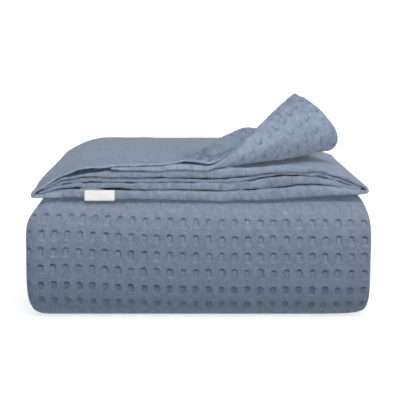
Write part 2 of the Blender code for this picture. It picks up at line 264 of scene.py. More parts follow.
# Painted shade of creases above and beside a well, in metres: how far off, how long, how wide, how far they
# drift
ABOVE_AT = (0.0026, 0.0017)
ABOVE_WIDTH = 0.00075
ABOVE_DRIFT = 0.0004
BESIDE_AT = (0.0035, 0.0018)
BESIDE_WIDTH = 0.0007
BESIDE_DRIFT = 0.002

# How strongly the waffle shows on the top, on the third layer and on the ridge
TOP_RELIEF = 0.10
THIRD_RELIEF = 0.25
RIDGE_RELIEF = 0.75
RIDGE_HIGH = 0.014
RELIEF_TURN = 0.05
# It fades into the hem, towards the ground and right under the top run's hems
TOP_PLAIN = 0.012
FLAP_PLAIN = 0.005
PLAIN_FADE = 0.009
GROUND_PLAIN = (0.001, 0.007)
GROUND_EVEN = (0.0016, 0.006)
UNDER_HEM = (0.1372, 0.004)
UNDER_HEM_LESS = 0.55

# The rows of wells on the front fall from left to right
ROWS_FALL = 0.0068
ROWS_MIDDLE = -0.100
ROWS_WIDTH = 0.060
ROWS_SLOPE = 0.006
# and its columns lean towards the left below
COLUMNS_LEAN = 0.0035
LEAN_RIGHT_END = 0.02
LEAN_WIDE = 0.25
LEAN_RISE = (0.085, 0.05)

# Unevenness of the cloth: each noise's width of features and seed, and its height in metres
WARP = 0.0020
WARP_U = (0.011, 8)
WARP_V = (0.013, 9)
WIDE_SWELL = (0.045, 3)
WIDE_HIGH = 0.00045
SMALL_SWELL = (0.016, 4)
SMALL_HIGH = 0.00022
SMALL_FLAP_HIGH = 0.0007
SEAM_FROM = 0.012
SEAM_PUCKER = (0.0060, 5)
SEAM_HIGH = 0.0012
HOLLOW_AT = (0.003, -0.110)
HOLLOW_WIDE = (0.025, 0.045)
HOLLOW_PUCKER = (0.0080, 11)
HOLLOW_HIGH = 0.0042
HOLLOW_LOWEST = -0.0020
# Noise of the painted shade in the top layer's puckered hollow
HOLLOW_PAINTED_SHADE = (0.006, 13)
CREASE = (0.0075, 10)
CREASE_WIDTH = 0.11
CREASE_DEEP = 0.00035
# How much painted shade lies along the wiggly creases, on the cloth and round the hems' rims
CREASE_PAINTED_SHADE = 0.42
RIM_BUMP = (0.006, 6)
RIM_SMALL_BUMP = (0.0028, 12)
# Noise and width of the creases round a hem's rim, which only get painted shade
RIM_CREASE = (0.0055, 10)
RIM_CREASE_WIDTH = 0.12

CLOTH = (0.250, 0.300, 0.382)
SATIN = (0.88, 0.855, 0.795)


def smooth(value):
    """0 to 1 with level ends."""
    value = np.clip(value, 0.0, 1.0)
    return value * value * (3 - 2 * value)


def mix(a, b, share):
    """From a at share 0 to b at share 1."""
    return a + (b - a) * share


def rising(value, start, width):
    """0 up to the start, and 1 from this width after it."""
    return smooth((value - start) / width)


def bell(value, middle, width):
    """1 at the middle, falling off to both sides."""
    return np.exp(-(((value - middle) / width) ** 2))


def noise(u, v, scale, seed):
    """Smooth noise from -1 to 1, with features about scale across."""
    lattice = np.random.default_rng(seed).uniform(-1, 1, (64, 64))
    a, b = u / scale, v / scale
    i, j = np.floor(a).astype(int), np.floor(b).astype(int)
    fa, fb = smooth(a - i), smooth(b - j)
    low = mix(lattice[i % 64, j % 64], lattice[(i + 1) % 64, j % 64], fa)
    high = mix(lattice[i % 64, (j + 1) % 64], lattice[(i + 1) % 64, (j + 1) % 64], fa)
    return mix(low, high, fb)


# ---- stations across the sheet


def add_stations(columns, x, i, after, share):
    """Adds stations at x of layer i, which have gone this share of the way to the layer after it."""
    layer = LAYERS[i]
    values = dict(x=x, deep=layer["place"] > 2, layer=i, share=share)
    values.update(from_place=layer["place"], to_place=after["place"])
    for key in ("place", "level", "nudge"):
        values[key] = mix(layer[key], after[key], share)
    for key, value in values.items():
        columns.setdefault(key, []).append(np.broadcast_to(value, x.shape))


def section():
    """Stations across the sheet: x, the layers that meet there and their share, and the distance u."""
    columns = {}
    last_layer = len(LAYERS) - 1
    for i, layer in enumerate(LAYERS):
        way = np.sign(layer["end"] - layer["start"])
        first = layer["start"] + (way * FOLD_DEPTH if i > 0 else 0.0)
        last = layer["end"] - (way * FOLD_DEPTH if i < last_layer else 0.0)
        spans = round(abs(last - first) / STEP_ACROSS)
        add_stations(columns, np.linspace(first, last, spans + 1), i, layer, 0.0)
        if i < last_layer:
            angle = np.linspace(0, math.pi, FOLD_SPANS + 1)[1:-1]
            x = layer["end"] - way * FOLD_DEPTH * (1 - np.sin(angle))
            add_stations(columns, x, i, LAYERS[i + 1], 0.5 * (1 - np.cos(angle)))
    columns = {key: np.concatenate(parts) for key, parts in columns.items()}
    rise = np.diff(packed_offset(columns["x"], columns["place"]))
    columns["u"] = np.concatenate(([0.0], np.cumsum(np.hypot(np.diff(columns["x"]), rise))))
    return columns


def column_at(columns, layer, x):
    """Index of the station of this layer that is nearest to x."""
    i = [row["name"] for row in LAYERS].index(layer)
    other_layer = columns["layer"] != i
    return int(np.argmin(np.where(other_layer, np.inf, np.abs(columns["x"] - x))))


# ---- stations along the strip


def layer_lines():
    """Heights of the lowest layer's line in the top run and in runs 1 to 5."""
    thick = (PLACES - 1) * PACKED_PITCH
    bottoms = [SHEET / 2 + place * PLACES * PACKED_PITCH for place in range(5)]
    top_run = bottoms[4] + thick + PACKED_PITCH
    return top_run, bottoms[0] + thick, bottoms[4], bottoms[3] + thick, bottoms[2], bottoms[1] + thick


def straight(y_from, y_to, z, up):
    """A flat run at height z, as rows of y, z and the way in which its layers are laid, up or down."""
    y = np.linspace(y_from, y_to, LINE_SAMPLES)
    return np.stack([y, np.full_like(y, z), np.zeros_like(y), np.full_like(y, up)])


def round_turn(y0, z_from, z_to, depth, squareness, up):
    """The same for a turn from one height to another, which stands out from y0 by the signed depth."""
    angle = np.linspace(0, math.pi, TURN_SAMPLES)
    power = 2 / squareness
    half = (z_from - z_to) / 2
    reach = np.maximum(np.sin(angle), 0.0) ** power
    rise = np.copysign(np.abs(np.cos(angle)) ** power, np.cos(angle))
    slope_y = reach ** (squareness - 1) / depth
    slope_z = np.copysign(np.abs(rise) ** (squareness - 1), rise) / half
    length = np.hypot(slope_y, slope_z) * (1 if up * half > 0 else -1)
    y = y0 + depth * reach
    z = (z_from + z_to) / 2 + half * rise
    return np.stack([y, z, slope_y / length, slope_z / length])


def strip_parts():
    """The strip's parts from its hemmed end on, each as the lines that it is made of."""
    top_run, run_1, run_2, run_3, run_4, run_5 = layer_lines()
    top = straight(FRONT_HEM, REAR_TURN, top_run, 1.0)
    top[1] += REAR_RISE * smooth((top[0] - FRONT_HEM) / TOP_RUN)
    rear = REAR_TURN - INNER_FROM_REAR
    front = FRONT_TURN + INNER_FROM_FRONT
    inner = [
        straight(FRONT_TURN, rear, run_2, 1.0),
        round_turn(rear, run_2, run_3, (run_2 - run_3) / 2, ROUND, 1),
        straight(rear, front, run_3, -1.0),
        round_turn(front, run_3, run_4, -(run_3 - run_4) / 2, ROUND, -1),
        straight(front, rear, run_4, 1.0),
        round_turn(rear, run_4, run_5, (run_4 - run_5) / 2, ROUND, 1),
        straight(rear, FRONT_TURN + LAST_FROM_FRONT, run_5, -1.0),
    ]
    return dict(
        top=[top],
        rear=[round_turn(REAR_TURN, top[1][-1], run_1, REAR_BULGE, REAR_SQUARENESS, 1)],
        floor=[straight(REAR_TURN, FRONT_TURN, run_1, -1.0)],
        front=[round_turn(FRONT_TURN, run_1, run_2, -FRONT_BULGE, FRONT_SQUARENESS, -1)],
        inner=inner,
    )


def even_stations(name, pieces):
    """Stations along one part, evenly apart on its longer side; only the last part keeps its end."""
    line = np.concatenate(pieces, axis=1)
    outer = line[:2] + line[2:] * (PLACES - 1) * PACKED_PITCH
    steps = np.maximum(*(np.hypot(*np.diff(side, axis=1)) for side in (outer, line[:2])))
    length = np.concatenate(([0.0], np.cumsum(steps)))
    spans = round(length[-1] / STEPS_ALONG[name])
    where = np.linspace(0, length[-1], spans + 1)[: None if name == "inner" else -1]
    part = np.stack([np.interp(where, length, values) for values in line])
    part[2:] /= np.hypot(part[2], part[3])
    share = where / length[-1]
    loose = dict(top=np.ones_like(share), rear=1 - smooth(share)).get(name, np.zeros_like(share))
    return np.vstack([part, loose])


def lie():
    """Stations along the strip, with how loosely its layers lie there, and where each part starts."""
    rows, starts, count = [], {}, 0
    for name, pieces in strip_parts().items():
        rows.append(even_stations(name, pieces))
        starts[name] = count
        count += rows[-1].shape[1]
    starts["end"] = count - 1
    y, z, ny, nz, loose = np.concatenate(rows, axis=1)
    return dict(y=y, z=z, ny=ny, nz=nz, loose=loose), starts


# ---- points of the sheet


def near_tip(x, share, left_gap, right_gap):
    """This share of a stack's thickness, but never so little that its two outer layers meet at a tip."""
    least = TIP_GAP / np.where(x > 0, right_gap, left_gap)
    return least + (1 - least) * share


def tip_distance(x):
    """Distance from the nearer tip."""
    return np.maximum(0.0, np.minimum(x - LEFT_TIP, RIGHT_TIP - x))


def loose_share(x):
    """How far the loose layers have come apart at x."""
    share = np.sin(math.pi / 2 * np.clip(tip_distance(x) / TOP_BLEND, 0, 1))
    return near_tip(x, share, TOP_LEVEL, THIRD_LEVEL)


def loose_offset(x, level):
    """Height over the lowest layer's line in the top run, which is lens-shaped across."""
    pair = np.where(x > 0, np.maximum(0.0, level - SECOND_LEVEL), 0.0)
    return LOOSE_REST + (level - pair - LOOSE_REST) * loose_share(x) + pair


def packed_offset(x, place):
    """Height over the lowest layer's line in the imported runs.

    The folds are round there, and at the right the upper two layers wrap the rest.
    """
    level = (PLACES - place) * PACKED_PITCH
    wrapped = level - TURNED_IN * np.exp(-np.maximum(0.0, TOP_FOLD_TIP - x) / TURNED_BLEND)
    middle = np.where(x > 0, RIGHT_NEST, LEFT_NEST) / 2 * PACKED_PITCH
    share = 1 - np.exp(-tip_distance(x) / PACKED_BLEND)
    gaps = (LEFT_NEST * PACKED_PITCH, RIGHT_NEST * PACKED_PITCH)
    inner = middle + (level - middle) * near_tip(x, share, *gaps)
    return np.where((x > 0) & (place < 3), wrapped, inner)


def moved_x(c, r):
    """Where the strip's folds stand further out or in than in the flat section."""
    right = smooth(c["x"] / TOP_FOLD_TIP)
    back = smooth((r["y"] - FRONT_HEM) / TOP_RUN)
    x = c["x"] * (1 - NARROWER_BEHIND * back * r["loose"] ** 0.5)
    drawn = DRAWN_IN * bell(r["y"], *DRAWN_AT) * r["loose"]
    lower = x - THIRD_FOLD_IN * right * (1 - r["loose"])
    upper = x + (TOP_FOLD_OUT * (1 - r["loose"]) - drawn) * right
    return np.where(c["deep"], lower, upper)


def front_drop(x, y):
    """How far the top run's front hangs down over the round front of the bundle."""
    centre = np.clip(1 - (x / RIGHT_TIP) ** 2, 0, 1)
    return smooth((HANG_START - y) / HANG_DEEP) * (HANG_LEAST + HANG_MORE * centre)


def hem_lines(x):
    """Heights of the hems' meeting lines at x, from the lowest layer's under face up, in metres."""
    table = np.array(HEM_LINES) / 1000
    lines = [np.interp(x, table[:, 0], table[:, k]) for k in range(1, len(HEM_COLUMNS))]
    return np.stack([*lines, lines[-1] + TOP_HEM + HEM_GAP])


def hem_band(x, place):
    """Middle and thickness of this layer's hem."""
    lines = hem_lines(x)
    low = np.take_along_axis(lines, (PLACES - place)[None], 0)[0]
    high = np.take_along_axis(lines, (PLACES - place)[None] + 1, 0)[0]
    return (low + high) / 2, high - low - HEM_GAP


def wedge_share(x, place):
    """1 where the third layer stands furthest off the top one at the hems."""
    return bell(x, *WEDGE_AT) * (place == 3)


def hem_noise(x, place, height, width, apart, seed):
    """Unevenness along the hem of the layer at this place."""
    return height * noise(x, place * apart, width, seed)


def layer_hem(x, place):
    """Middle and thickness of this layer's hem, with its unevenness."""
    middle, thick = hem_band(x, place)
    wave = hem_noise(x, place, *HEM_WAVE) + hem_noise(x, place, *HEM_RIPPLE)
    swell = hem_noise(x, place, *HEM_SWELL) - np.abs(hem_noise(x, place, *HEM_DENTS))
    quiet = smooth(tip_distance(x) / QUIET_TIP)
    least = mix(THIN_TIP, THINNEST, quiet)
    thin_start = mix(SECOND_START, 1.0, rising(x, LAYERS[0]["start"], SECOND_TAPER))
    taper = np.where(place == 2, thin_start, 1.0)
    wedge = WEDGE_DEEP * wedge_share(x, place)
    thick = np.maximum(thick + swell * quiet - wedge, least) * taper
    return middle + wave * quiet - wedge / 2, thick


def hem_at(x, c):
    """Middle and thickness of the hem at these stations, between two layers' where they fold."""
    middle, thick = layer_hem(x, np.broadcast_to(c["from_place"], x.shape))
    next_middle, next_thick = layer_hem(x, np.broadcast_to(c["to_place"], x.shape))
    return mix(middle, next_middle, c["share"]), mix(thick, next_thick, c["share"])


def on_lines(x, place):
    """1 where a hem keeps to the lines, falling to 0 where the two upper ones leave them for the curl."""
    start, end = FLAP_FREE
    return np.where(place > 2.5, 1.0, 1 - rising(x, start, end - start))


def from_apex(x, y):
    """Distance and angle of these places, seen from the cone's apex."""
    dx, dy = x - APEX[0], y - APEX[1]
    return np.hypot(dx, dy), np.arctan2(dy, dx)


def curled(x, y, level, height):
    """The points of the two top layers, level above their lower one, rolled on the cone."""
    radius, angle = from_apex(x, y)
    signed = BEND_ANGLE - angle
    turn = np.maximum(signed, 0.0)
    cos, sin = math.cos(CONE_ANGLE), math.sin(CONE_ANGLE)
    ray = np.array((math.cos(BEND_ANGLE), math.sin(BEND_ANGLE), 0.0))
    side = np.array((math.sin(BEND_ANGLE), -math.cos(BEND_ANGLE), 0.0))
    up = np.array((0.0, 0.0, 1.0))
    axis = ray * cos + up * sin
    rim = up * cos - ray * sin
    roll = (turn / sin)[..., None]
    out = axis * cos + (side * np.sin(roll) - rim * np.cos(roll)) * sin
    inward = (axis - out * cos) / sin
    base = layer_lines()[0] + BEND_LEVEL
    sunk = (height - base) * np.exp(-turn / EASE_ANGLE)
    rolled = np.array((*APEX, base)) + out * radius[..., None] + inward * (level + sunk)[..., None]
    flat = np.stack([x, y, height + level], axis=-1)
    points = np.where((signed > 0)[..., None], rolled, flat)
    outer = rising(radius, LIFT_START, LIFT_FULL - LIFT_START) * smooth(signed / LIFT_BEFORE + 1)
    reach = outer * (1 - rising(roll[..., 0], REACH_ROLL, LIFT_FADE))
    points[..., 0] += FLAP_REACH * reach * smooth(turn / FLAP_TURN)
    points[..., 2] += FLAP_LIFT * outer * (1 - rising(roll[..., 0], LIFT_ROLL, LIFT_FADE))
    return points


def ridge(x, y):
    """Height of the top layer's ridge, which fans out from the cone's apex behind the curl."""
    radius, angle = from_apex(x, y)
    starts = rising(radius, RIDGE_START, RIDGE_FULL - RIDGE_START)
    ends = smooth((RIDGE_END - radius) / (RIDGE_END - RIDGE_FADE))
    return RIDGE_SLOPE * radius * bell(angle, RIDGE_ANGLE, RIDGE_WIDTH) * starts * ends


def loose_height(x, y, c, r, place, level):
    """Height of a layer in the top run before it is curled, which comes to its hem's line at the front."""
    even = r["z"] + loose_offset(x, level) - front_drop(x, y)
    near = (1 - smooth((r["y"] - FRONT_HEM) / HEM_FADE)) * on_lines(x, place)
    return mix(even, layer_lines()[0] + hem_at(x, c)[0], near)


def rim_room(x, c, r):
    """How far the sheet's end is set back so that the round rim of its hem ends at the hem's place."""
    return RIM_DEEP / 2 * hem_thickness(x, c) * (1 - rising(r["y"], FRONT_HEM, HEM_DEEP))


def hem_thickness(x, c):
    """Thickness of the hem, on the lines and on the curl."""
    flap = np.maximum(THINNEST, mix(FLAP_HEM, TOP_HEM, c["place"] < 1.5) * loose_share(x))
    return mix(flap, hem_at(x, c)[1], on_lines(x, c["place"]))


def front_width(x, r, z):
    """How much wider or narrower than its section the strip is at height z, as a factor."""
    power = mix(FOOT_POWER, FRONT_POWER, rising(z, *FOOT_RISE))
    wider = 1 + WIDER_AT_FRONT / RIGHT_TIP * np.maximum(0.0, -r["ny"]) ** power
    high = rising(z, *SHOULDER_RISE) * (1 - r["loose"])
    return wider - SHOULDER * high * smooth(-x / SHOULDER_WIDE)


def loose_points(x, c, r):
    """Middle of the sheet in the top run, where its two upper layers are curled up."""
    fading = 1 - rising(r["y"], FRONT_HEM, HEM_FADE)
    y = r["y"] + c["nudge"] * fading + rim_room(x, c, r)
    height = loose_height(x, y, c, r, c["place"], c["level"])
    places = dict(from_place=np.full_like(c["from_place"], 2), to_place=np.full_like(c["to_place"], 2))
    lower = loose_height(x, y, {**c, **places}, r, 2, SECOND_LEVEL)
    curl = curled(x, y, height - lower, lower)
    curl[..., 2] += ridge(x, y) * (c["place"] < 1.01)
    return np.where(c["deep"][..., None], np.stack([x, y, height], axis=-1), curl)


def sheet_points(c, r):
    """Middle of the sheet at stations c across it and r along it, as an array of rows by columns."""
    x = moved_x(c, r)
    stack = mix(packed_offset(c["x"], c["place"]), loose_offset(x, c["level"]), r["loose"])
    z = r["z"] + r["nz"] * stack
    packed = np.stack([x * front_width(x, r, z), r["y"] + r["ny"] * stack, z], axis=-1)
    if (r["loose"] < 1).all():
        return packed
    return np.where((r["loose"] == 1)[..., None], loose_points(x, c, r), packed)


def half_thickness(c, r):
    """Half the sheet's thickness, more at the hem of the top run."""
    hemmed = 1 - rising(r["y"] - FRONT_HEM, HEM_FLAT, HEM_DEEP)
    full = mix(SHEET, hem_thickness(moved_x(c, r), c), hemmed)
    return np.where(r["loose"] == 1, np.maximum(THINNEST, full), SHEET) / 2


def top_only(c, r):
    """1 on the top layer of the top run."""
    return (c["place"] < 1.5) * (r["loose"] == 1)


def signed_turn(c, r):
    """Angle past the bend, seen from the cone's apex, and below 0 on the flat part."""
    x = moved_x(c, r)
    return BEND_ANGLE - from_apex(x, r["y"] + 0 * x)[1]


def turned(c, r):
    """How far round the cone the two top layers have come, 0 on their flat part."""
    return np.maximum(signed_turn(c, r), 0.0) * (c["place"] < 2.5) * (r["loose"] == 1)


def valley(c, r):
    """1 along the top layer's sharp valley, in front of its ridge."""
    return bell(signed_turn(c, r), *VALLEY_AT) * top_only(c, r)


def on_ridge(c, r):
    """1 where the top layer's ridge stands high."""
    return smooth(ridge(moved_x(c, r), r["y"]) * top_only(c, r) / RIDGE_HIGH)


def hollow(c, r, points):
    """1 in the puckered hollow of the top layer, left of its ridge."""
    x, y = (bell(points[..., k], HOLLOW_AT[k], HOLLOW_WIDE[k]) for k in (0, 1))
    return x * y * top_only(c, r)


# ---- waffle


def cell(u, v):
    """Distances from the middle of the cell that these places are in, and what chance gives that cell."""
    a, b = u / CELL_U, v / CELL_V
    i, j = np.floor(a + 0.5).astype(int), np.floor(b + 0.5).astype(int)
    tables = np.random.default_rng(CHANCE_SEED).uniform(-1, 1, (len(CHANCES), *CHANCE_CELLS))
    picked = tables[:, i % CHANCE_CELLS[0], j % CHANCE_CELLS[1]]
    chance = dict(zip(CHANCES, picked, strict=True))
    du = (a - i) * CELL_U + SHIFT_U * chance["shift_u"]
    dv = (b - j) * CELL_V + SHIFT_V * chance["shift_v"]
    return du + SKEW * chance["shift_v"] * dv, dv, chance


def painted_crease_shade(du, dv, half_u, half_v, chance):
    """Painted shade of the short creases above the wells and beside them."""
    above = bell(du, ABOVE_DRIFT * chance["drift"], ABOVE_WIDTH) * bell(dv - half_v, *ABOVE_AT)
    above = above * np.clip(chance["pucker"] + 0.2, 0, 1)
    beside = bell(dv, BESIDE_DRIFT * chance["drift"], BESIDE_WIDTH) * bell(np.abs(du) - half_u, *BESIDE_AT)
    return ABOVE_PAINTED_SHADE * above + BESIDE_PAINTED_SHADE * beside * np.clip(chance["tick"], 0, 1)


def wells(u, v):
    """The waffle at these places: how high it stands, in depths of a well, and its painted shade.

    A well slopes down from its lip to its arched upper wall, under a low brow. Its lip gets a painted
    highlight, and its upper rim and the short creases near it get painted shade.
    """
    du, dv, chance = cell(u, v)
    low = smooth((LOW_ROWS - v) / LOW_FADE) * rising(v, LOWEST_ROW, LOW_FADE)
    half_u = WELL_HALF_U * (1 + WIDER * chance["wide"])
    half_v = WELL_HALF_V * (1 + TALLER * chance["tall"] - LOW_SHORTER * low)
    across, up = np.abs(du) / half_u, dv / half_v
    round_top = (across**ARCH_SQUARENESS + np.abs(up) ** ARCH_SQUARENESS) ** (1 / ARCH_SQUARENESS)
    arch = np.where(up > 0, round_top, across)
    wall = 1 - rising(arch, *WALL)
    slope = mix(up > SLOPE[0], rising(up, *SLOPE), SLOPE_SHARE)
    bottom = rising(up, *BOTTOM)
    lip = bell(up, *LIP) * (1 - rising(across, *LIP_ENDS)) * (0.65 + 0.5 * chance["pucker"])
    brow = bell(arch, *BROW) * (up > 0)
    height = LIP_HIGH * lip + BROW_HIGH * brow - wall * slope * bottom * (1 + DEEPER * chance["deep"])
    # Painted shade along the well's arched upper rim, stronger on one side
    outline_shade = bell(arch, *OUTLINE) * rising(up, *OUTLINE_FOOT) * mix(0.55, 1.0, rising(up, *OUTLINE_TOP))
    outline_shade = outline_shade * (1 + SIDE_PAINTED_SHADE * chance["side"] * np.sign(du))
    # Painted shade of the short creases near the well
    near_crease_shade = painted_crease_shade(du, dv, half_u, half_v, chance)
    # Painted shade fills the low wells, and the lip gets a painted highlight
    return height, outline_shade + LOW_PAINTED_SHADE * low * wall * bottom + near_crease_shade - LIP_PAINTED_HIGHLIGHT * lip


def rows_fall(x):
    """How far the rows of wells on the front are lower than at its left end."""
    step = ROWS_FALL / 2 * (1 + np.tanh((x - ROWS_MIDDLE) / ROWS_WIDTH))
    return step + ROWS_SLOPE * np.maximum(0.0, x)


def relief_strength(c, r, points, depth):
    """How strongly the waffle shows: little where the top is stretched, not at all in a hem or underneath."""
    turn = turned(c, r)
    quiet = np.where(c["place"] > 2.5, THIRD_RELIEF, TOP_RELIEF)
    strength = np.maximum(mix(1.0, quiet, r["loose"]), smooth(turn / RELIEF_TURN))
    strength = np.maximum(strength, RIDGE_RELIEF * on_ridge(c, r))
    plain = np.where(turn > 0, FLAP_PLAIN, TOP_PLAIN)
    hem = np.where(r["loose"] == 1, rising(depth, plain, PLAIN_FADE), 1.0)
    ground = np.where(r["loose"] < 1, rising(points[..., 2], *GROUND_PLAIN), 1.0)
    front = (r["loose"] < 1) * (points[..., 1] < 0)
    under_hem = 1 - UNDER_HEM_LESS * rising(points[..., 2], *UNDER_HEM) * front
    return strength * hem * ground * under_hem


def cloth_relief(c, r, points, depth, u, v):
    """Height of face A over the even sheet, and how dark it is, at these stations."""
    flap = smooth(turned(c, r) / FLAP_TURN)
    warp = WARP * flap
    height, shade = wells(u + warp * noise(u, v, *WARP_U), v + 1.3 * warp * noise(u, v, *WARP_V))
    strength = relief_strength(c, r, points, depth)
    ground = rising(points[..., 2], *GROUND_EVEN)
    small_high = mix(SMALL_HIGH, SMALL_FLAP_HIGH, flap)
    swells = (WIDE_HIGH * noise(u, v, *WIDE_SWELL) + small_high * noise(u, v, *SMALL_SWELL)) * ground
    seam = (1 - rising(depth, SEAM_FROM, SEAM_FROM)) * (r["loose"] == 1)
    in_hollow = hollow(c, r, points)
    hollow_pucker = np.maximum(HOLLOW_HIGH * noise(u, 0.6 * v, *HOLLOW_PUCKER), HOLLOW_LOWEST)
    puckers = SEAM_HIGH * noise(u, v, *SEAM_PUCKER) * seam + hollow_pucker * in_hollow
    creased = np.maximum(np.maximum(seam, 0.8 * flap), in_hollow)
    creases = bell(noise(u, 0.7 * v, *CREASE), 0, CREASE_WIDTH) * creased
    # Painted shade in the puckered hollow, in uneven blotches
    blotches = (0.60 + 0.80 * noise(u, 0.5 * v, *HOLLOW_PAINTED_SHADE)) * in_hollow
    # Painted shade in the wedge between the third and the top layer's hems
    wedge = wedge_share(points[..., 0], c["place"]) * smooth(depth / WEDGE_START) * (r["loose"] == 1)
    height = WELL_DEPTH * height * strength * (1 - 0.3 * flap) + swells + puckers - CREASE_DEEP * creases
    # Painted shade: the waffle's, a little stronger on the curl, along the creases and in the hollow
    shade = shade * strength * (1 + 0.10 * flap) + CREASE_PAINTED_SHADE * creases + blotches
    # Painted shade along the valley and in the wedge between hems, and painted light on the ridge
    return height, shade + VALLEY_PAINTED_SHADE * valley(c, r) - RIDGE_PAINTED_LIGHT * on_ridge(c, r) + wedge


def add_hem(points, normal, thick, surface, coordinates, shade):
    """Rows round the hem and back under the sheet, put before the patch's own rows."""
    last = min(len(points) - 1, UNDER_ROWS)
    out = points[0] - points[1]
    out = out / np.linalg.norm(out, axis=-1, keepdims=True)
    rows = [points[k] - normal[k] * thick[k][:, None] for k in range(last, -1, -UNDER_STRIDE)]
    place = coordinates[0, :, 0]
    shades = [np.zeros_like(place)] * len(rows)
    for angle in np.linspace(math.pi, 0, RIM_SPANS + 1)[1:-1]:
        over = math.copysign(abs(math.cos(angle)) ** RIM_SQUARENESS, math.cos(angle))
        reach = math.sin(angle) ** RIM_SQUARENESS * RIM_DEEP
        turn = np.full_like(place, RIM_TURN * angle)
        bump = 1 + 0.20 * noise(place, turn, *RIM_BUMP) + 0.22 * noise(place, turn, *RIM_SMALL_BUMP)
        rows.append(points[0] + (normal[0] * over + out * (reach * bump)[:, None]) * thick[0][:, None])
        # Painted shade along wiggly creases round the rim
        shades.append(CREASE_PAINTED_SHADE * bell(noise(place, turn, *RIM_CREASE), 0, RIM_CREASE_WIDTH))
    extra = np.stack(rows)
    steps = np.linalg.norm(np.diff(np.concatenate([extra, surface[:1]]), axis=0), axis=-1).mean(axis=1)
    back = np.cumsum(steps[::-1])[::-1, None]
    more = np.stack([np.broadcast_to(place, extra.shape[:2]), coordinates[0, :, 1] - back], axis=-1)
    return (
        np.concatenate([extra, surface]),
        np.concatenate([more, coordinates]),
        np.concatenate([np.stack(shades), shade]),
    )


# ---- meshes


def grid_mesh(name, points, coordinates, shade):
    """A mesh of a grid of points, with the sheet's coordinates as UV map and the painted shade as attribute.
    """
    rows, columns = points.shape[:2]
    index = np.arange(rows * columns).reshape(rows, columns)
    corners = [index[:-1, :-1], index[1:, :-1], index[1:, 1:], index[:-1, 1:]]
    faces = np.stack(corners, axis=-1).reshape(-1, 4)
    mesh = bpy.data.meshes.new(name)
    mesh.vertices.add(rows * columns)
    mesh.vertices.foreach_set("co", points.reshape(-1).astype(np.float32))
    mesh.loops.add(faces.size)
    mesh.loops.foreach_set("vertex_index", faces.reshape(-1).astype(np.int32))
    mesh.polygons.add(len(faces))
    mesh.polygons.foreach_set("loop_start", np.arange(0, faces.size, 4, dtype=np.int32))
    mesh.polygons.foreach_set("use_smooth", np.ones(len(faces), dtype=bool))
    uv = coordinates.reshape(-1, 2)[faces.reshape(-1)].reshape(-1)
    mesh.uv_layers.new(name="sheet").uv.foreach_set("vector", uv.astype(np.float32))
    # The attribute named well holds the painted shade and painted highlight
    attribute = mesh.attributes.new("well", "FLOAT", "POINT")
    attribute.data.foreach_set("value", shade.reshape(-1).astype(np.float32))
    mesh.update(calc_edges=True)
    return mesh


def normals(points):
    """Unit normals of face A of the sheet, the one that is outside on the bundle."""
    across = np.gradient(points, axis=1)
    along = np.gradient(points, axis=0)
    normal = -np.cross(across, along)
    return normal / np.maximum(np.linalg.norm(normal, axis=-1, keepdims=True), 1e-12)


# Places across the sheet, each a layer and an x
UNDER_CURL = ("second", 0.160)
UNDER_LEFT = ("lowest", -0.172)
UNDER_RIGHT = ("lowest", 0.150)
THIRD_LEFT = ("third", -0.180)
FOURTH_RIGHT = ("fourth", 0.190)
MAIN = (UNDER_CURL, UNDER_LEFT)
# The patches of each piece: two places across the sheet and every how many stations between them are
# used, and the part of the strip that they start with and the part or depth, in metres, that ends them
PATCHES = dict(
    top_cloth=[(*MAIN, 1, "top", "rear")],
    rear_cloth=[(*MAIN, 1, "rear", "floor")],
    floor_cloth=[(*MAIN, 3, "floor", "front")],
    front_cloth=[(*MAIN, 1, "front", "inner")],
    curl_cloth=[(("second", -0.110), UNDER_CURL, 1, "top", "rear")],
    third_cloth=[(UNDER_RIGHT, THIRD_LEFT, 2, "top", "rear")],
    hems=[
        (UNDER_LEFT, UNDER_RIGHT, 1, "top", 0.04),
        (THIRD_LEFT, FOURTH_RIGHT, 1, "top", 0.03),
        (FOURTH_RIGHT, ("fifth", -0.201), 1, "top", 0.03),
    ],
    left_edge=[(("top", -0.165), UNDER_LEFT, 1, "inner", "end")],
    right_edge=[(UNDER_CURL, ("top", 0.165), 2, "inner", "end")],
    third_edge=[(UNDER_RIGHT, ("third", 0.165), 2, "rear", "end")],
)


